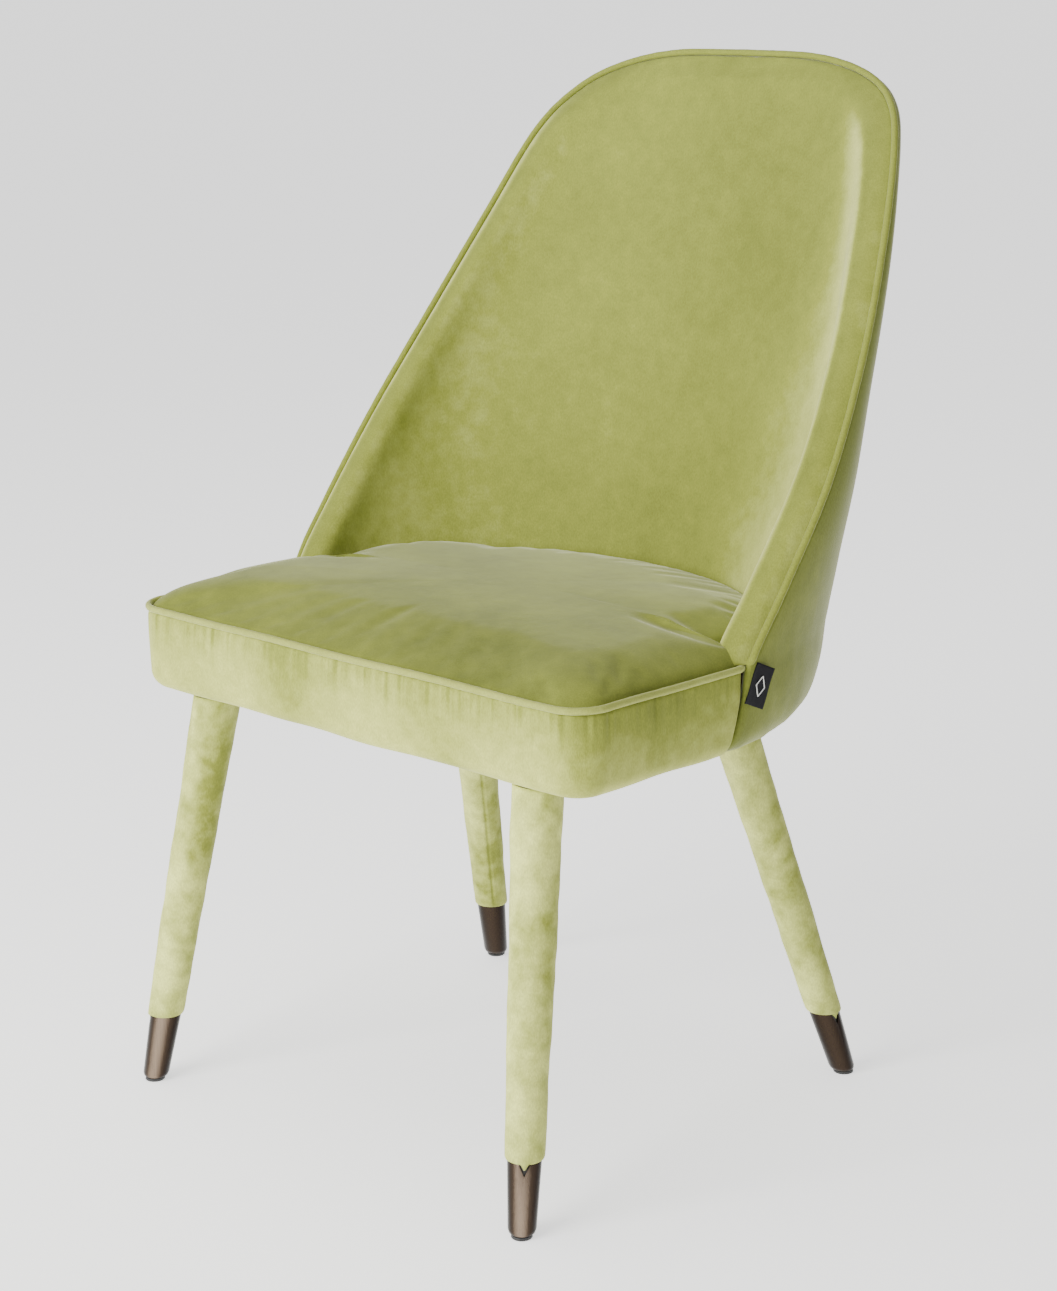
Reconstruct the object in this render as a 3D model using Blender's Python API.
"""Upholstered dining chair: a tub-backed velvet seat on four splayed, sleeved legs with metal tips.

Metres, +Z up. The chair faces -Y and its left and right halves mirror in X. The origin is on the floor,
in the middle of the box that holds the chair.
"""

import math

import bmesh
import bpy
import numpy as np

CHAIR = "dining_chair"

# Clearances and cloth
GAP = 0.0003
CLOTH = 0.0015
PIPING_RADIUS = 0.0030
PIPING_CLEARANCE = 0.0006

# Seat, in plan and in height
SEAT_HALF_WIDTH = 0.2635
SEAT_CORNER_RADIUS = 0.030
SEAT_FRONT = -0.2510
SEAT_FRONT_BOW = 0.001
SEAT_UNDERSIDE = 0.356
SEAM_ABOVE_FRAME = 0.017
SEAT_CROWN = 0.026
SEAT_PUFF = 0.45
SEAT_PUFF_POWER = 12
SEAT_DOME_POWER = 2.4
SEAT_REAR_LIFT = 0.014
SEAT_LIFT_LENGTH = 0.080
BORDER_TURN_RADIUS = 0.016
BORDER_LIP = 0.022
EDGE_PADDING = 0.005

# Wooden seat frame
RAIL_HEIGHT = 0.051
RAIL_THICKNESS = 0.022
FRAME_LIFT = 0.005
BLOCK_WIDTH = 0.095
CROSS_RAIL_FRONT = 0.095
BOW_RAIL_CLEARANCE = 0.005
BOW_RAIL_LIFT = 0.010
STRAP_WIDTH = 0.050
STRAP_THICKNESS = 0.0015
STRAP_END = 0.003
STRAP_SETBACK = 0.008
STRAPS_ACROSS = (0.12, 0.35, 0.61)
STRAP_FROM_REAR_LEG = 0.062
REAR_BLOCK_DEPTH = 0.085
SIDE_RAIL_CLEARANCE = 0.008

# Back. Its three lines are drawn in shares: of BACK_HALF_WIDTH, of BACK_DEPTH behind the side seam, and of
# height, where -1 is the seat's underside, 0 its seam and 1 the top of the back
BACK_OVERHANG = 0.007
BACK_DEPTH = 0.340
BACK_HEIGHT = 0.468
SIDE_SEAM_Y = -0.0525
# The rim, from the foot of the side seam to the top centre, as half width, depth and height
RIM_SHAPE = (
    (0.909, -0.057, -1.000),
    (0.935, -0.051, -0.973),
    (0.956, -0.046, -0.890),
    (0.974, -0.034, -0.726),
    (0.987, -0.016, -0.370),
    (0.994, 0.004, 0.017),
    (1.000, 0.110, 0.124),
    (0.991, 0.287, 0.295),
    (0.932, 0.472, 0.489),
    (0.854, 0.628, 0.671),
    (0.765, 0.763, 0.840),
    (0.665, 0.849, 0.923),
    (0.518, 0.899, 0.970),
    (0.299, 0.922, 0.996),
    (0.000, 0.928, 1.000),
)
# The rearmost line of the back, in the middle plane, as depth and height
SPINE_SHAPE = (
    (0.684, -1.000),
    (0.731, -0.973),
    (0.769, -0.890),
    (0.800, -0.726),
    (0.824, -0.370),
    (0.831, 0.017),
    (0.812, 0.130),
    (0.785, 0.280),
    (0.782, 0.408),
    (0.813, 0.543),
    (0.862, 0.671),
    (0.928, 0.793),
    (0.987, 0.904),
    (1.000, 0.949),
    (0.987, 0.979),
    (0.963, 0.996),
    (0.940, 1.000),
)
# The face that the sitter leans on, in the middle plane, as depth and height
LEAN_SHAPE = (
    (0.543, -0.192),
    (0.563, 0.032),
    (0.612, 0.168),
    (0.649, 0.293),
    (0.678, 0.419),
    (0.712, 0.543),
    (0.757, 0.669),
    (0.804, 0.771),
    (0.841, 0.855),
    (0.874, 0.929),
    (0.887, 0.964),
    (0.901, 0.985),
    (0.916, 0.996),
    (0.926, 1.000),
)
WING_THICKNESS = 0.032
WING_ROLL = 0.008
WING_ROLL_FADE = 0.020
CUSHION_CLEARANCE = 0.003
CUSHION_TUCK = 0.010
BACK_COLUMNS = 20
BACK_ROWS_BELOW = 6
BACK_ROWS_ABOVE = 17
SHELL_BASE_ROW = 4
SHELL_RIM_SETBACK = 0.007
BACK_WADDING = 0.003
SHELL_THICKNESS = 0.009
FOAM_CLEARANCE = 0.0010
RIM_SETBACK = 1.25 * (PIPING_RADIUS + PIPING_CLEARANCE)

# Legs: where the axis meets the seat's underside, measured in from the seat's side and from its front or the
# cross rail, and how far the foot stands out from there in x and y
FRONT_LEG_INSET = (0.0722, 0.0310)
FRONT_LEG_SPLAY = (0.0354, -0.0570)
REAR_LEG_INSET = (0.1064, 0.0395)
REAR_LEG_SPLAY = (0.0609, 0.1045)
LEG_TOP_DIAMETER = 0.042
SLEEVE_THICKNESS = 0.0025
SLEEVE_STEP = 0.0022
FERRULE_HEIGHT = 0.0624
FERRULE_TOP_DIAMETER = 0.0278
FERRULE_FOOT_DIAMETER = 0.0228
FERRULE_WALL = 0.0012
FERRULE_EDGE = 0.003
NOTCH_WIDTH = 0.0095
NOTCH_DEPTH = 0.010
NOTCH_TURN = {"front": math.radians(-47), "rear": math.radians(-7)}
GLIDE_DIAMETER = 0.0176
GLIDE_HEIGHT = 0.0027
GLIDE_STEM_DIAMETER = 0.006
LEG_SIDES = 16
STUD_DIAMETER = 0.006
STUD_IN_LEG = 0.035
STUD_IN_BLOCK = 0.040
INSERT_WALL = 0.002
INSERT_LENGTH = 0.018

# Fixings that hold the back shell to the curved rear rail
BACK_BOLT_ANGLES = (22, 62, 118, 158)
BACK_BOLT_DIAMETER = 0.006
BACK_BOLT_HEAD_DIAMETER = 0.012
BACK_BOLT_HEAD_HEIGHT = 0.003
BACK_BOLT_DROP = 0.016
BACK_BOLT_SINK = 0.002
BACK_BOLT_COVER = 0.004

# Side label, sewn in the seam on the right
LABEL_LENGTH = 0.032
LABEL_WIDTH = 0.0155
LABEL_THICKNESS = 0.0010

WELD = 1e-6
FRAME_BOTTOM = SEAT_UNDERSIDE + FRAME_LIFT
FRAME_TOP = FRAME_BOTTOM + RAIL_HEIGHT
FRAME_INSET = CLOTH + EDGE_PADDING + 3 * GAP
SEAT_SEAM_HEIGHT = FRAME_TOP + SEAM_ABOVE_FRAME
BACK_TOP = SEAT_SEAM_HEIGHT + BACK_HEIGHT
BACK_HALF_WIDTH = SEAT_HALF_WIDTH + BACK_OVERHANG
SHELL_DEPTH = CLOTH + BACK_WADDING + 4 * GAP
BOW_RAIL_INSET = SHELL_DEPTH + SHELL_THICKNESS + BOW_RAIL_CLEARANCE
LEG_SLEEVE_END_DIAMETER = FERRULE_TOP_DIAMETER + 2 * SLEEVE_STEP
INSERT_DIAMETER = STUD_DIAMETER + 2 * INSERT_WALL
LEG_HEADS = {
    "front": (SEAT_HALF_WIDTH - FRONT_LEG_INSET[0], SEAT_FRONT + FRONT_LEG_INSET[1]),
    "rear": (SEAT_HALF_WIDTH - REAR_LEG_INSET[0], CROSS_RAIL_FRONT - REAR_LEG_INSET[1]),
}
LEG_SPLAYS = {"front": FRONT_LEG_SPLAY, "rear": REAR_LEG_SPLAY}
SIDE_NAMES = {1: "right", -1: "left"}


def finish(name, colour, roughness, metallic=0.0):
    """A plain material with one colour."""
    made = bpy.data.materials.new(name)
    made.use_nodes = True
    shader = made.node_tree.nodes["Principled BSDF"]
    shader.inputs["Base Color"].default_value = (*colour, 1.0)
    shader.inputs["Roughness"].default_value = roughness
    shader.inputs["Metallic"].default_value = metallic
    return made


def solid(name, shape, material, collection, smooth_angle=35):
    """Closes a bmesh, turns its faces outward and links it as one named object."""
    bmesh.ops.remove_doubles(shape, verts=shape.verts, dist=WELD)
    bmesh.ops.dissolve_degenerate(shape, edges=shape.edges, dist=WELD)
    bmesh.ops.recalc_face_normals(shape, faces=shape.faces)
    mesh = bpy.data.meshes.new(name)
    shape.to_mesh(mesh)
    shape.free()
    mesh.shade_smooth()
    mesh.set_sharp_from_angle(angle=math.radians(smooth_angle))
    mesh.materials.append(material)
    made = bpy.data.objects.new(name, mesh)
    collection.objects.link(made)
    return made


def thick_sheet(name, face, back, material, collection, wraps=False):
    """A closed body between two grids of points. A grid that wraps meets itself from last column to first."""
    shape = bmesh.new()
    rows, columns = face.shape[:2]
    fronts = [[shape.verts.new(point) for point in row] for row in face]
    backs = [[shape.verts.new(point) for point in row] for row in back]
    spans = columns if wraps else columns - 1
    for row in range(rows - 1):
        for column in range(spans):
            beside = (column + 1) % columns
            for grid in (fronts, backs):
                low, high = grid[row], grid[row + 1]
                shape.faces.new((low[column], low[beside], high[beside]))
                shape.faces.new((low[column], high[beside], high[column]))
        if not wraps:
            for column in (0, columns - 1):
                low, high = fronts[row][column], fronts[row + 1][column]
                shape.faces.new((low, high, backs[row][column]))
                shape.faces.new((high, backs[row + 1][column], backs[row][column]))
    for row in (0, rows - 1):
        for column in range(spans):
            beside = (column + 1) % columns
            front, back = fronts[row], backs[row]
            near, far = (column, beside) if column < columns // 2 else (beside, column)
            shape.faces.new((front[near], front[far], back[near]))
            shape.faces.new((front[far], back[far], back[near]))
    return solid(name, shape, material, collection)


def stack(name, rings, material, collection):
    """A closed body through rings of points, flat at both ends."""
    shape = bmesh.new()
    rows = [[shape.verts.new(point) for point in ring] for ring in rings]
    count = len(rings[0])
    for low, high in zip(rows, rows[1:]):
        for k in range(count):
            beside = (k + 1) % count
            shape.faces.new((low[k], low[beside], high[beside], high[k]))
    shape.faces.new(rows[0])
    shape.faces.new(rows[-1])
    return solid(name, shape, material, collection)


def prism(name, outline, low, high, material, collection):
    """A flat outline raised from one height to another."""
    return stack(name, [[(x, y, z) for x, y in outline] for z in (low, high)], material, collection)


def box(name, low, high, material, collection):
    """A block between two corners."""
    shape = bmesh.new()
    bmesh.ops.create_cube(shape, size=1.0)
    for vertex in shape.verts:
        for axis in range(3):
            share = vertex.co[axis] + 0.5
            vertex.co[axis] = low[axis] + share * (high[axis] - low[axis])
    return solid(name, shape, material, collection)


def cut(target, cutter, operation="DIFFERENCE"):
    """A Boolean that stays on the target."""
    modifier = target.modifiers.new(cutter.name, "BOOLEAN")
    modifier.operation = operation
    modifier.solver = "EXACT"
    modifier.object = cutter


def smooth_path(points, per_span):
    """Catmull-Rom points through the given ones, with the same number in each span."""
    knots = np.array(points, float)
    ends = np.vstack([2 * knots[0] - knots[1], knots, 2 * knots[-1] - knots[-2]])
    share = np.arange(per_span)[:, None] / per_span
    spans = []
    for k in range(len(knots) - 1):
        a, b, c, d = ends[k : k + 4]
        bend = 2 * a - 5 * b + 4 * c - d
        turn = 3 * b - a - 3 * c + d
        spans.append(b + 0.5 * share * (c - a + share * (bend + share * turn)))
    return np.vstack(spans + [knots[-1:]])


def sized(shares):
    """A line drawn in shares, in metres."""
    places = np.array(shares, float)
    height = places[:, -1]
    below = SEAT_SEAM_HEIGHT - SEAT_UNDERSIDE
    places[:, -1] = SEAT_SEAM_HEIGHT + height * np.where(height < 0, below, BACK_HEIGHT)
    places[:, -2] = SIDE_SEAM_Y + places[:, -2] * BACK_DEPTH
    if places.shape[1] == 3:
        places[:, 0] *= BACK_HALF_WIDTH
    return places


RIM = sized(RIM_SHAPE)
SPINE = sized(SPINE_SHAPE)
LEAN = sized(LEAN_SHAPE)


def at_height(points, height, column):
    """The value of one column of a smooth path where it passes a height, which is its last column."""
    path = smooth_path(points, 24)
    return np.interp(height, path[:, -1], path[:, column])


def spaced(path, count):
    """Points at equal steps of length along a path."""
    steps = np.linalg.norm(np.diff(path, axis=0), axis=1)
    length = np.concatenate([[0.0], np.cumsum(steps)])
    wanted = np.linspace(0.0, length[-1], count)
    return np.column_stack([np.interp(wanted, length, path[:, k]) for k in range(path.shape[1])])


# ---------------------------------------------------------------- back surfaces


def rim_rows():
    """Half width, y and height of the rim at each row, from the underside to the top."""
    rim = smooth_path(RIM, 24)
    piped = int(np.searchsorted(rim[:, 2], SEAT_SEAM_HEIGHT + 2 * PIPING_RADIUS))
    below = spaced(rim[: piped + 1], BACK_ROWS_BELOW + 1)
    above = spaced(rim[piped:], BACK_ROWS_ABOVE)
    return np.vstack([below[:-1], above])


def outside_grid(rows):
    """Points on the outside of the back: half an ellipse at each level, from just behind the piping."""
    turn = np.linspace(0.0, math.pi, BACK_COLUMNS + 1)
    half, rim, height = (rows[:, k, None] for k in range(3))
    spine = at_height(SPINE, height, 0)
    start = np.minimum(rim + RIM_SETBACK, spine)
    start[-1] = spine[-1]
    x = half * np.cos(turn)
    y = start + (spine - start) * np.sin(turn)
    return np.stack([x, y, np.broadcast_to(height, x.shape)], axis=-1)


def rows_above_shell(rows):
    """How many rows at the top turn round the rim too tightly for the plywood to follow."""
    half = np.maximum(rows[:, 0], WELD)
    depth = np.maximum(at_height(SPINE, rows[:, 2], 0) - rows[:, 1] - RIM_SETBACK, 0.0)
    return int(np.count_nonzero(depth**2 / half < SHELL_DEPTH + SHELL_THICKNESS))


def drawn_in(rows, distance):
    """The rim moved inward in its own sloping plane."""
    along = np.gradient(rows, axis=0)
    seam, top = rows[0], rows[-1]
    across = np.array([0.0, seam[2] - top[2], top[1] - seam[1]])
    inward = np.cross(across, along)
    inward /= np.linalg.norm(inward, axis=1, keepdims=True)
    inward[-1] = np.array([0.0, seam[1] - top[1], seam[2] - top[2]]) / np.linalg.norm(across)
    return rows + distance * inward


def inside_grid(rows):
    """Points on the inside of the back: a rolled front edge on each wing, then half an ellipse between them."""
    inner = drawn_in(rows, PIPING_RADIUS + 2 * PIPING_CLEARANCE)
    half, rim, height = (inner[:, k, None] for k in range(3))
    share = np.clip((height[-1] - height) / WING_ROLL_FADE, 0.0, 1.0)
    wing = np.minimum(WING_THICKNESS, 0.45 * half)
    lean = at_height(LEAN, height, 0)
    lean[-1] = rim[-1]
    turn = np.linspace(0.0, math.pi, BACK_COLUMNS - 3)
    hollow_x = (half - wing) * np.cos(turn)
    edge = rim - 0.4 * WING_ROLL * share
    hollow_y = edge + (lean - edge) * np.sin(turn)
    roll_x = np.array([0.0, 0.45])
    roll_y = np.array([0.0, 1.0])
    right_x = half - wing * roll_x
    right_y = rim - WING_ROLL * share * roll_y
    x = np.hstack([right_x, hollow_x, -right_x[:, ::-1]])
    y = np.hstack([right_y, hollow_y, right_y[:, ::-1]])
    return np.stack([x, y, np.broadcast_to(height, x.shape)], axis=-1)


def normals(grid, pole, towards):
    """Unit normals of a grid, on the side that points to `towards` at its middle. The last row takes `pole`."""
    along = np.gradient(grid, axis=1)
    up = np.gradient(grid, axis=0)
    found = np.cross(along, up)
    length = np.linalg.norm(found, axis=-1, keepdims=True)
    found = found / np.maximum(length, 1e-12)
    middle = found[len(found) // 2, found.shape[1] // 2]
    if np.dot(middle, towards) < 0:
        found = -found
    found[-1] = np.array(pole) / np.linalg.norm(pole)
    return found


def layer(grid, normal, depth):
    """The grid moved inward by a depth."""
    return grid - depth * normal


def trimmed(grid):
    """The grid with its first and last columns drawn back from the rim, along its own facets."""
    short = grid.copy()
    for edge, beside in ((0, 1), (-1, -2)):
        step = grid[:, beside] - grid[:, edge]
        length = np.linalg.norm(step, axis=1, keepdims=True)
        short[:, edge] += np.minimum(SHELL_RIM_SETBACK / np.maximum(length, WELD), 0.5) * step
    return short


def make_back(collection, materials):
    rows = rim_rows()
    outside = outside_grid(rows)
    outward = normals(outside, (0, 0, 1), (0, 1, 0))
    cover = layer(outside, outward, CLOTH)
    thick_sheet("back_outside_cover", outside, cover, materials["velvet"], collection)

    wadding = CLOTH + 2 * GAP
    depths = (wadding, wadding + BACK_WADDING, SHELL_DEPTH, SHELL_DEPTH + SHELL_THICKNESS)
    faces = [trimmed(layer(outside, outward, depth))[SHELL_BASE_ROW:] for depth in depths]
    thick_sheet("back_wadding", *faces[:2], materials["wadding"], collection)
    foam_only = rows_above_shell(rows)
    faces = [face[:-foam_only] for face in faces[2:]]
    plywood = thick_sheet("back_shell", *faces, materials["plywood"], collection)

    inside = inside_grid(rows[BACK_ROWS_BELOW:])
    inward = normals(inside, (0, -0.5, 0.9), (0, -1, 0))
    cover = layer(inside, inward, CLOTH)
    thick_sheet("back_inside_cover", inside, cover, materials["velvet"], collection)
    pad = layer(inside, inward, CLOTH + 2 * GAP)
    depth = np.full((len(rows), 1, 1), SHELL_DEPTH + SHELL_THICKNESS + FOAM_CLEARANCE)
    depth[-foam_only:] = SHELL_DEPTH
    foam_back = layer(outside, outward, depth)[BACK_ROWS_BELOW:]
    thick_sheet("back_foam", pad, foam_back, materials["foam"], collection)

    make_piping("back_piping", back_piping_path(), collection, materials)
    make_label(collection, materials)
    return plywood


def back_piping_path():
    """The rim above the side seam, from the right over the top to the left."""
    rim = smooth_path(RIM, 24)
    right = rim[rim[:, 2] >= SEAT_SEAM_HEIGHT + 4 * PIPING_RADIUS]
    left = right[::-1][1:] * np.array([-1.0, 1.0, 1.0])
    return spaced(np.vstack([right, left]), 56)


def make_piping(name, path, collection, materials):
    """A covered cord along a path."""
    curve = bpy.data.curves.new(name, "CURVE")
    curve.dimensions = "3D"
    curve.bevel_depth = PIPING_RADIUS
    curve.bevel_resolution = 1
    curve.use_fill_caps = True
    line = curve.splines.new("POLY")
    line.points.add(len(path) - 1)
    for point, place in zip(line.points, path):
        point.co = (*place, 1.0)
    curve.materials.append(materials["velvet"])
    made = bpy.data.objects.new(name, curve)
    collection.objects.link(made)


def make_label(collection, materials):
    """A woven tag on the right, standing out of the side seam and lying on the outside cover."""
    top = SEAT_SEAM_HEIGHT + 2 * PIPING_RADIUS
    heights = np.array([top, top - LABEL_LENGTH])
    half = at_height(RIM, heights, 0)
    seam = at_height(RIM, heights, 1) + PIPING_RADIUS
    face = []
    back = []
    for step in (0.0, 1.0):
        out = half + LABEL_THICKNESS + GAP
        rear = seam + step * LABEL_WIDTH
        face.append(np.column_stack([out, rear, heights]))
        back.append(np.column_stack([out - LABEL_THICKNESS, rear, heights]))
    thick_sheet("side_label", np.array(face), np.array(back), materials["label"], collection)


# ---------------------------------------------------------------- seat outline


def front_bow(x):
    """How far the front edge stands forward of the corners at x."""
    reach = SEAT_HALF_WIDTH - SEAT_CORNER_RADIUS
    share = np.clip(np.abs(x) / reach, 0.0, 1.0)
    return SEAT_FRONT_BOW * (1.0 - share**2)


def seat_path(inset):
    """The seat's edge from the right side seam round the front to the left, drawn in by an inset."""
    arc_centre = SEAT_HALF_WIDTH - SEAT_CORNER_RADIUS
    radius = SEAT_CORNER_RADIUS - inset
    seam = float(at_height(RIM, SEAT_SEAM_HEIGHT, 1)) - PIPING_RADIUS
    points = [(SEAT_HALF_WIDTH - inset, y) for y in np.linspace(seam, SEAT_FRONT + SEAT_CORNER_RADIUS, 5)]
    for angle in np.linspace(0.0, -math.pi / 2, 6)[1:]:
        x = arc_centre + radius * math.cos(angle)
        points.append((x, SEAT_FRONT + SEAT_CORNER_RADIUS + radius * math.sin(angle)))
    for x in np.linspace(arc_centre, 0.0, 5)[1:]:
        points.append((x, SEAT_FRONT + inset - float(front_bow(x))))
    right = np.array(points)
    left = right[::-1][1:] * np.array([-1.0, 1.0])
    return np.vstack([right, left])


def seat_loop(inset):
    """The whole edge of the seat cushion: the front path, then round inside the wings."""
    front = seat_path(inset)
    seam = front[0, 1]
    room = CUSHION_CLEARANCE + 0.5 * inset
    half = float(at_height(RIM, SEAT_SEAM_HEIGHT, 0)) - PIPING_RADIUS - WING_THICKNESS - room
    deep = float(at_height(LEAN, FRAME_TOP, 0)) - room
    front[:, 1] = np.minimum(front[:, 1], seam - CUSHION_TUCK)
    turn = np.linspace(math.pi, 0.0, 19)
    start = seam + CUSHION_CLEARANCE
    rear = np.column_stack([half * np.cos(turn), start + (deep - start) * np.sin(turn)])
    return np.vstack([front, rear])


def edge_height(loop):
    """The height of the cushion's edge: at the seam in front, lifted where the back holds it."""
    share = np.clip((loop[:, 1] - loop[0, 1]) / SEAT_LIFT_LENGTH, 0.0, 1.0)
    return SEAT_SEAM_HEIGHT + SEAT_REAR_LIFT * share * share * (3 - 2 * share)


def crowned_grid(loop, drop):
    """Rings from the cushion's edge to its middle, rising to the crown."""
    middle = np.array([0.0, SIDE_SEAM_Y])
    edge = edge_height(loop) - drop
    rings = []
    for share in (1.0, 0.97, 0.92, 0.84, 0.70, 0.45, 0.2, 0.0):
        plan = middle + share * (loop - middle)
        fullness = 1.0 - SEAT_PUFF * share**SEAT_PUFF_POWER - (1.0 - SEAT_PUFF) * share**SEAT_DOME_POWER
        rise = (SEAT_SEAM_HEIGHT + SEAT_CROWN - drop - edge) * fullness
        rings.append(np.column_stack([plan, edge + rise]))
    return np.array(rings)


def make_seat_cushion(collection, materials):
    inset = PIPING_RADIUS + PIPING_CLEARANCE
    loop = seat_loop(inset)
    top = crowned_grid(loop, 0.0)
    under = crowned_grid(loop, CLOTH)
    thick_sheet("seat_top_cover", top, under, materials["velvet"], collection, wraps=True)

    foam_top = crowned_grid(loop, CLOTH + 2 * GAP)
    floor = FRAME_TOP + 3 * (STRAP_THICKNESS + GAP)
    base = foam_top.copy()
    base[:, :, 2] = floor
    thick_sheet("seat_foam", foam_top, base, materials["foam"], collection, wraps=True)
    make_piping("seat_piping", seat_piping_path(), collection, materials)


def seat_piping_path():
    path = seat_path(0.0)
    return np.column_stack([path, np.full(len(path), SEAT_SEAM_HEIGHT)])


def border_profile():
    """The border's section as (inset, height): down from the seam, round the bottom edge and in to its lip."""
    top = SEAT_SEAM_HEIGHT - PIPING_RADIUS - PIPING_CLEARANCE
    radius = BORDER_TURN_RADIUS
    low = SEAT_UNDERSIDE
    points = [(0.0008, top), (0.0, top - 0.02), (0.0, low + radius)]
    for angle in np.linspace(0.0, math.pi / 2, 5)[1:]:
        points.append((radius - radius * math.cos(angle), low + radius - radius * math.sin(angle)))
    points.append((BORDER_LIP, low))
    return np.array(points)


def swept(profile, depth):
    """The seat's edge path drawn along a profile that is moved inward by a depth."""
    along = np.gradient(profile, axis=0)
    across = np.column_stack([-along[:, 1], along[:, 0]])
    across /= np.linalg.norm(across, axis=1, keepdims=True)
    moved = profile + depth * across
    rows = []
    for inset, height in moved:
        plan = seat_path(inset)
        seam = float(at_height(RIM, height, 1)) - PIPING_RADIUS
        shift = seam - plan[0, 1]
        for end in (0, -1):
            plan[end, 1] += shift
        rows.append(np.column_stack([plan, np.full(len(plan), height)]))
    return np.array(rows)


def make_border(collection, materials):
    profile = border_profile()
    faces = swept(profile, 0.0), swept(profile, CLOTH)
    thick_sheet("seat_border", *faces, materials["velvet"], collection)
    low = SEAT_UNDERSIDE + BORDER_TURN_RADIUS
    wall = np.array([(0.0, FRAME_TOP), (0.0, low)])
    depth = CLOTH + GAP
    faces = swept(wall, depth), swept(wall, depth + EDGE_PADDING)
    thick_sheet("seat_edge_padding", *faces, materials["wadding"], collection)


def make_dust_cover(collection, cutters, materials):
    """Black cloth under the frame, with a hole for each leg's stud."""
    path = seat_path(BORDER_LIP + 2 * GAP)
    lip_gap = CLOTH + 3 * GAP
    rear = float(at_height(SPINE, SEAT_UNDERSIDE, 0)) - lip_gap
    half = min(float(at_height(RIM, SEAT_UNDERSIDE, 0)) - lip_gap, path[0, 0])
    turn = np.linspace(math.pi, 0.0, BACK_COLUMNS + 1)
    start = float(at_height(RIM, SEAT_UNDERSIDE, 1))
    tail = np.column_stack([half * np.cos(turn), start + (rear - start) * np.sin(turn)])
    outline = np.vstack([path[1:-1], tail])
    low = SEAT_UNDERSIDE
    made = prism("dust_cover", outline, low, low + CLOTH, materials["dust_cloth"], collection)
    for end, side in leg_places():
        centre = leg_axis(end, side, low)
        hole = prism(
            f"cut_dust_{end}_{SIDE_NAMES[side]}",
            ellipse(centre, STUD_DIAMETER / 2 + 0.002, 0.0, 0.0),
            low - 0.01,
            low + 0.01,
            materials["steel"],
            cutters,
        )
        cut(made, hole)


# ---------------------------------------------------------------- wooden frame


def bow_outline(inset, steps=16):
    """The curved rear rail's face in plan, from the right end round to the left."""
    height = FRAME_BOTTOM + 0.5 * RAIL_HEIGHT
    half = float(at_height(RIM, height, 0)) - inset
    rim = float(at_height(RIM, height, 1))
    rear = float(at_height(SPINE, height, 0)) - inset
    turn = np.linspace(0.0, math.pi, steps + 1)
    return np.column_stack([half * np.cos(turn), rim + (rear - rim) * np.sin(turn)])


def raised(outline, heights):
    """The outline repeated at each height."""
    return np.array([np.column_stack([outline, np.full(len(outline), z)]) for z in heights])


def make_frame(collection, cutters, materials, plywood):
    front = SEAT_FRONT + FRAME_INSET
    outer = SEAT_HALF_WIDTH - FRAME_INSET
    block_edge = outer - BLOCK_WIDTH
    block_rear = front + BLOCK_WIDTH
    wood = materials["beech"]
    rail_low = (-block_edge + GAP, front, FRAME_BOTTOM)
    rail_high = (block_edge - GAP, front + RAIL_THICKNESS, FRAME_TOP)
    box("front_rail", rail_low, rail_high, wood, collection)

    bow_front = float(at_height(RIM, FRAME_BOTTOM + 0.5 * RAIL_HEIGHT, 1))
    heights = (FRAME_BOTTOM + BOW_RAIL_LIFT, FRAME_TOP)
    faces = [raised(bow_outline(BOW_RAIL_INSET + depth), heights) for depth in (0.0, RAIL_THICKNESS)]
    bow = thick_sheet("rear_bow_rail", *faces, wood, collection)
    room = bow_outline(BOW_RAIL_INSET + RAIL_THICKNESS + GAP)
    inner = prism("keep_inside_bow", room, FRAME_BOTTOM - 0.01, FRAME_TOP + 0.01, wood, cutters)

    cross_rear = CROSS_RAIL_FRONT + RAIL_THICKNESS
    low = (-outer, CROSS_RAIL_FRONT, FRAME_BOTTOM)
    cross = box("cross_rail", low, (outer, cross_rear, FRAME_TOP), wood, collection)
    cut(cross, inner, "INTERSECT")

    for side in (1, -1):
        name = SIDE_NAMES[side]
        xs = sorted((side * (outer - RAIL_THICKNESS), side * outer))
        low = (xs[0], block_rear + GAP, FRAME_BOTTOM)
        high = (xs[1], bow_front - SIDE_RAIL_CLEARANCE, FRAME_TOP)
        box(f"side_rail_{name}", low, high, wood, collection)

        corner = seat_path(FRAME_INSET)[4:10] * np.array([side, 1.0])
        block = [(side * block_edge, front), (side * block_edge, block_rear), (side * outer, block_rear)]
        outline = np.vstack([block, corner])
        made = prism(f"corner_block_front_{name}", outline, FRAME_BOTTOM, FRAME_TOP, wood, collection)
        cut(made, stud_hole("front", side, cutters, materials))

        xs = sorted((side * (LEG_HEADS["rear"][0] - 0.5 * BLOCK_WIDTH), side * outer))
        low = (xs[0], CROSS_RAIL_FRONT - GAP - REAR_BLOCK_DEPTH, FRAME_BOTTOM)
        high = (xs[1], CROSS_RAIL_FRONT - GAP, FRAME_TOP)
        made = box(f"corner_block_rear_{name}", low, high, wood, collection)
        cut(made, inner, "INTERSECT")
        cut(made, stud_hole("rear", side, cutters, materials))
    make_back_bolts(collection, cutters, materials, plywood, bow)


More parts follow.
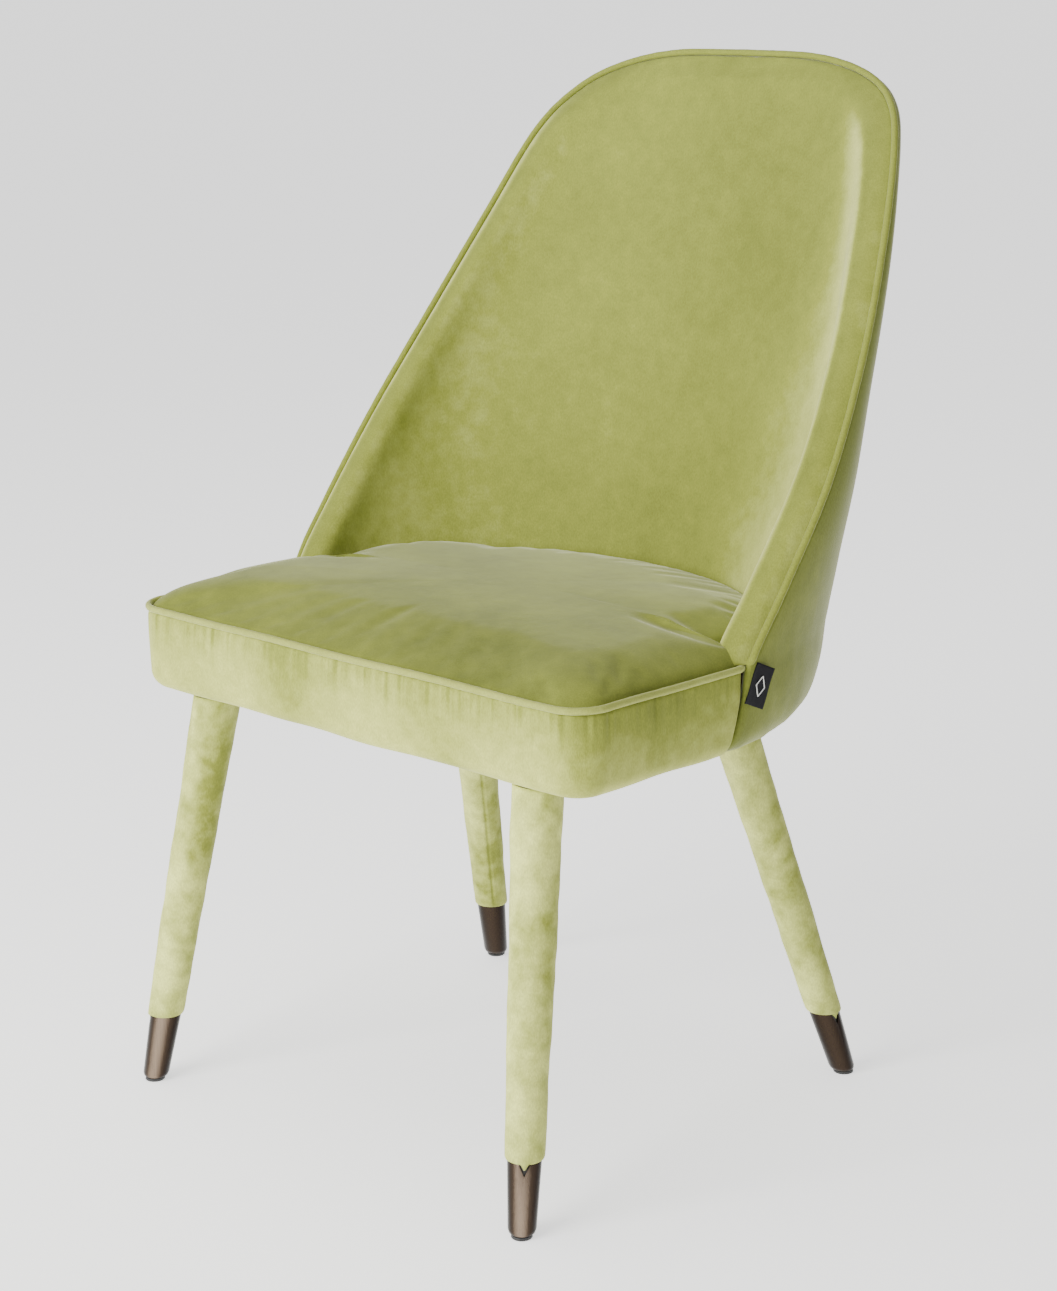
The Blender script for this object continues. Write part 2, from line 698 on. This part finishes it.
def make_straps(collection, materials):
    """Elastic straps: three from side to side on the rails, three over them from front to rear."""
    half = 0.5 * STRAP_WIDTH
    on_rail = FRAME_TOP + GAP
    start = SEAT_FRONT + FRAME_INSET + RAIL_THICKNESS
    bow = bow_outline(BOW_RAIL_INSET + 0.5 * RAIL_THICKNESS)[:5]
    for number, share in enumerate(STRAPS_ACROSS, start=1):
        y = start + share * (CROSS_RAIL_FRONT - start)
        reach = SEAT_HALF_WIDTH - FRAME_INSET - STRAP_SETBACK
        if y + half > bow[0, 1] - SIDE_RAIL_CLEARANCE:
            reach = np.interp(y + half, bow[:, 1], bow[:, 0])
        low = (-reach, y - half, on_rail)
        high = (reach, y + half, on_rail + STRAP_THICKNESS)
        box(f"strap_across_{number}", low, high, materials["webbing"], collection)

    start = SEAT_FRONT + FRAME_INSET + STRAP_END
    finish_y = CROSS_RAIL_FRONT + RAIL_THICKNESS - STRAP_END
    over = on_rail + STRAP_THICKNESS + GAP
    path = (
        (start, on_rail),
        (start + 0.014, on_rail),
        (start + 0.022, over),
        (finish_y - 0.060, over),
        (finish_y - 0.022, on_rail),
        (finish_y, on_rail),
    )
    for number, place in enumerate((-1, 0, 1), start=1):
        x = place * (LEG_HEADS["rear"][0] - STRAP_FROM_REAR_LEG)
        grids = []
        for lift in (0.0, STRAP_THICKNESS):
            grids.append(np.array([[(x + s * half, y, z + lift) for s in (-1, 1)] for y, z in path]))
        thick_sheet(f"strap_lengthwise_{number}", *grids, materials["webbing"], collection)


def make_back_bolts(collection, cutters, materials, plywood, bow):
    """Bolts through the plywood shell into the curved rear rail, heads against the shell."""
    height = FRAME_TOP - BACK_BOLT_DROP
    half = float(at_height(RIM, height, 0))
    rim = float(at_height(RIM, height, 1))
    rear = float(at_height(SPINE, height, 0))
    sunk = SHELL_DEPTH + BACK_BOLT_SINK
    length = BOW_RAIL_INSET + RAIL_THICKNESS - sunk - BACK_BOLT_COVER
    for number, degrees in enumerate(BACK_BOLT_ANGLES, start=1):
        turn = math.radians(degrees)
        place = np.array([half * math.cos(turn), rim + (rear - rim) * math.sin(turn), height])
        out = np.array([math.cos(turn) / half, math.sin(turn) / (rear - rim), 0.0])
        out /= np.linalg.norm(out)
        profile = (
            (0.0, BACK_BOLT_HEAD_DIAMETER / 2),
            (BACK_BOLT_HEAD_HEIGHT, BACK_BOLT_HEAD_DIAMETER / 2),
            (BACK_BOLT_HEAD_HEIGHT, BACK_BOLT_DIAMETER / 2),
            (length, BACK_BOLT_DIAMETER / 2),
        )
        start = place - sunk * out
        bolt = [ring_about(start - depth * out, out, radius) for depth, radius in profile]
        stack(f"back_bolt_{number}", bolt, materials["steel"], collection)
        wider = 3 * GAP
        head = [
            ring_about(start + 0.02 * out, out, BACK_BOLT_HEAD_DIAMETER / 2 + wider),
            ring_about(start - (BACK_BOLT_HEAD_HEIGHT + GAP) * out, out, BACK_BOLT_HEAD_DIAMETER / 2 + wider),
        ]
        shank = [
            ring_about(start, out, BACK_BOLT_DIAMETER / 2 + wider),
            ring_about(start - (length + 0.001) * out, out, BACK_BOLT_DIAMETER / 2 + wider),
        ]
        cut(plywood, stack(f"cut_head_{number}", head, materials["steel"], cutters))
        shank_cutter = stack(f"cut_shank_{number}", shank, materials["steel"], cutters)
        cut(plywood, shank_cutter)
        cut(bow, shank_cutter)


def ring_about(centre, axis, radius, sides=10):
    """Points of a circle round an axis that lies level."""
    level = np.array([-axis[1], axis[0], 0.0])
    up = np.array([0.0, 0.0, 1.0])
    turns = np.linspace(0.0, 2 * math.pi, sides, endpoint=False)
    return [centre + radius * (math.cos(t) * level + math.sin(t) * up) for t in turns]


# ---------------------------------------------------------------- legs


def leg_places():
    return [(end, side) for end in ("front", "rear") for side in (1, -1)]


def leg_slope(end, side):
    """How far the leg's axis moves in x and y for each metre of height."""
    splay = LEG_SPLAYS[end]
    return (-side * splay[0] / SEAT_UNDERSIDE, -splay[1] / SEAT_UNDERSIDE)


def leg_axis(end, side, height):
    """Where the leg's axis passes a height."""
    head = LEG_HEADS[end]
    slope = leg_slope(end, side)
    drop = height - SEAT_UNDERSIDE
    return (side * head[0] + slope[0] * drop, head[1] + slope[1] * drop)


def ellipse(centre, radius, lean_x, lean_y, sides=LEG_SIDES):
    """The level section of a round bar that leans by these slopes."""
    lean = math.hypot(lean_x, lean_y)
    stretch = math.hypot(1.0, lean)
    along = (lean_x / lean, lean_y / lean) if lean else (1.0, 0.0)
    points = []
    for turn in np.linspace(0.0, 2 * math.pi, sides, endpoint=False):
        u = radius * stretch * math.cos(turn)
        v = radius * math.sin(turn)
        points.append((centre[0] + u * along[0] - v * along[1], centre[1] + u * along[1] + v * along[0]))
    return points


def leg_ring(end, side, height, radius):
    """A level section of the leg at a height."""
    centre = leg_axis(end, side, height)
    return [(x, y, height) for x, y in ellipse(centre, radius, *leg_slope(end, side))]


def leg_rings(end, side, profile):
    return [leg_ring(end, side, height, radius) for height, radius in profile]


def sleeve_radius(height):
    """The outside of the velvet sleeve, which tapers from the seat to the ferrule."""
    share = (height - FERRULE_HEIGHT) / (SEAT_UNDERSIDE - FERRULE_HEIGHT)
    return 0.5 * (LEG_SLEEVE_END_DIAMETER + share * (LEG_TOP_DIAMETER - LEG_SLEEVE_END_DIAMETER))


def stud_hole(end, side, cutters, materials):
    """A cutter for the drilled hole in a corner block, along the leg's axis."""
    radius = INSERT_DIAMETER / 2 + GAP
    rings = leg_rings(end, side, ((FRAME_BOTTOM - 0.01, radius), (FRAME_TOP + 0.01, radius)))
    return stack(f"cut_stud_{end}_{SIDE_NAMES[side]}", rings, materials["steel"], cutters)


def make_leg(end, side, collection, cutters, materials):
    tag = f"{end}_{SIDE_NAMES[side]}"
    top = SEAT_UNDERSIDE - 0.0005
    rim = FERRULE_HEIGHT
    sleeve_low = rim + GAP
    soft = SLEEVE_THICKNESS + GAP
    cup_floor = GLIDE_HEIGHT + GAP
    core_low = cup_floor + FERRULE_WALL + GAP + 0.001
    tip = FERRULE_WALL + GAP
    stud = STUD_DIAMETER / 2 + GAP

    core = (
        (top - STUD_IN_LEG - 0.001, stud),
        (top, stud),
        (top, sleeve_radius(top) - soft),
        (sleeve_low + 0.006, sleeve_radius(sleeve_low) - soft),
        (sleeve_low + 0.001, FERRULE_TOP_DIAMETER / 2 - tip),
        (core_low + FERRULE_EDGE, FERRULE_FOOT_DIAMETER / 2 - tip),
        (core_low, FERRULE_FOOT_DIAMETER / 2 - tip - FERRULE_EDGE),
    )
    stack(f"leg_core_{tag}", leg_rings(end, side, core), materials["beech"], collection)

    bead = SLEEVE_THICKNESS
    outer = (
        (top, sleeve_radius(top)),
        (0.5 * (top + rim), sleeve_radius(0.5 * (top + rim))),
        (sleeve_low + bead, sleeve_radius(sleeve_low)),
        (sleeve_low, sleeve_radius(sleeve_low) - 0.45 * bead),
    )
    inner = (
        (top, sleeve_radius(top) - SLEEVE_THICKNESS),
        (0.5 * (top + rim), sleeve_radius(0.5 * (top + rim)) - SLEEVE_THICKNESS),
        (sleeve_low + 0.007, sleeve_radius(sleeve_low) - SLEEVE_THICKNESS),
        (sleeve_low, sleeve_radius(sleeve_low) - SLEEVE_THICKNESS),
    )
    faces = [np.array(leg_rings(end, side, profile)) for profile in (outer, inner)]
    thick_sheet(f"leg_sleeve_{tag}", *faces, materials["velvet"], collection, wraps=True)

    stem = GLIDE_STEM_DIAMETER / 2
    foot = FERRULE_FOOT_DIAMETER / 2
    outer = (
        (rim, FERRULE_TOP_DIAMETER / 2),
        (cup_floor + FERRULE_EDGE, foot),
        (cup_floor + 0.3 * FERRULE_EDGE, foot - 0.3 * FERRULE_EDGE),
        (cup_floor, foot - FERRULE_EDGE),
        (cup_floor, stem + GAP),
    )
    floor = cup_floor + FERRULE_WALL
    inner = (
        (rim, FERRULE_TOP_DIAMETER / 2 - FERRULE_WALL),
        (floor + FERRULE_EDGE, foot - FERRULE_WALL),
        (floor + 0.3 * FERRULE_EDGE, foot - FERRULE_WALL - 0.3 * FERRULE_EDGE),
        (floor, foot - FERRULE_WALL - FERRULE_EDGE),
        (floor, stem + GAP),
    )
    faces = [np.array(leg_rings(end, side, profile)) for profile in (outer, inner)]
    ferrule = thick_sheet(f"ferrule_{tag}", *faces, materials["bronze"], collection, wraps=True)
    cut(ferrule, notch_cutter(end, side, tag, cutters, materials))

    glide = (
        (0.0, GLIDE_DIAMETER / 2 - 0.0006),
        (0.0006, GLIDE_DIAMETER / 2),
        (GLIDE_HEIGHT, GLIDE_DIAMETER / 2),
        (GLIDE_HEIGHT, stem),
        (floor + 0.0008, stem),
    )
    stack(f"glide_{tag}", leg_rings(end, side, glide), materials["plastic"], collection)

    radius = STUD_DIAMETER / 2
    bolt = ((top - STUD_IN_LEG, radius), (FRAME_BOTTOM + STUD_IN_BLOCK, radius))
    stack(f"leg_stud_{tag}", leg_rings(end, side, bolt), materials["steel"], collection)
    low, high = FRAME_BOTTOM, FRAME_BOTTOM + INSERT_LENGTH
    outer = leg_rings(end, side, ((low, INSERT_DIAMETER / 2), (high, INSERT_DIAMETER / 2)))
    inner = leg_rings(end, side, ((low, radius + GAP), (high, radius + GAP)))
    sheet = np.array(outer), np.array(inner)
    thick_sheet(f"stud_insert_{tag}", *sheet, materials["steel"], collection, wraps=True)


def notch_cutter(end, side, tag, cutters, materials):
    """A wedge that cuts a V in the ferrule's rim, on the side that faces forward and outward."""
    x, y = leg_axis(end, side, FERRULE_HEIGHT)
    turn = NOTCH_TURN[end]
    outward = np.array([side * math.cos(turn), math.sin(turn)])
    across = np.array([-outward[1], outward[0]])
    over = 0.002
    half = 0.5 * NOTCH_WIDTH * (1 + over / NOTCH_DEPTH)
    section = ((-half, FERRULE_HEIGHT + over), (half, FERRULE_HEIGHT + over), (0.0, FERRULE_HEIGHT - NOTCH_DEPTH))
    rings = []
    for reach in (0.004, 0.025):
        centre = np.array([x, y]) + reach * outward
        rings.append([(*(centre + s * across), z) for s, z in section])
    return stack(f"cut_notch_{tag}", rings, materials["steel"], cutters)


def main():
    for old in list(bpy.data.objects):
        bpy.data.objects.remove(old)
    parts = bpy.data.collections.new(CHAIR)
    cutters = bpy.data.collections.new("cutters")
    for collection in (parts, cutters):
        bpy.context.scene.collection.children.link(collection)
    materials = {
        "velvet": finish("velvet", (0.42, 0.45, 0.14), 0.8),
        "foam": finish("foam", (0.85, 0.80, 0.62), 0.95),
        "wadding": finish("wadding", (0.90, 0.90, 0.88), 0.95),
        "plywood": finish("plywood", (0.62, 0.46, 0.28), 0.6),
        "beech": finish("beech", (0.66, 0.46, 0.28), 0.55),
        "webbing": finish("webbing", (0.30, 0.24, 0.16), 0.85),
        "dust_cloth": finish("dust_cloth", (0.03, 0.03, 0.03), 0.95),
        "bronze": finish("bronze", (0.13, 0.085, 0.055), 0.35, 1.0),
        "steel": finish("steel", (0.60, 0.60, 0.62), 0.35, 1.0),
        "plastic": finish("plastic", (0.05, 0.05, 0.05), 0.5),
        "label": finish("label", (0.02, 0.02, 0.02), 0.8),
    }
    plywood = make_back(parts, materials)
    make_frame(parts, cutters, materials, plywood)
    make_straps(parts, materials)
    make_border(parts, materials)
    make_seat_cushion(parts, materials)
    make_dust_cover(parts, cutters, materials)
    for end, side in leg_places():
        make_leg(end, side, parts, cutters, materials)
    for cutter in cutters.objects:
        cutter.hide_render = True
        cutter.display_type = "WIRE"
    centre = bpy.data.objects.new(f"{CHAIR}_origin", None)
    parts.objects.link(centre)
    for part in parts.objects:
        if part != centre:
            part.parent = centre


main()
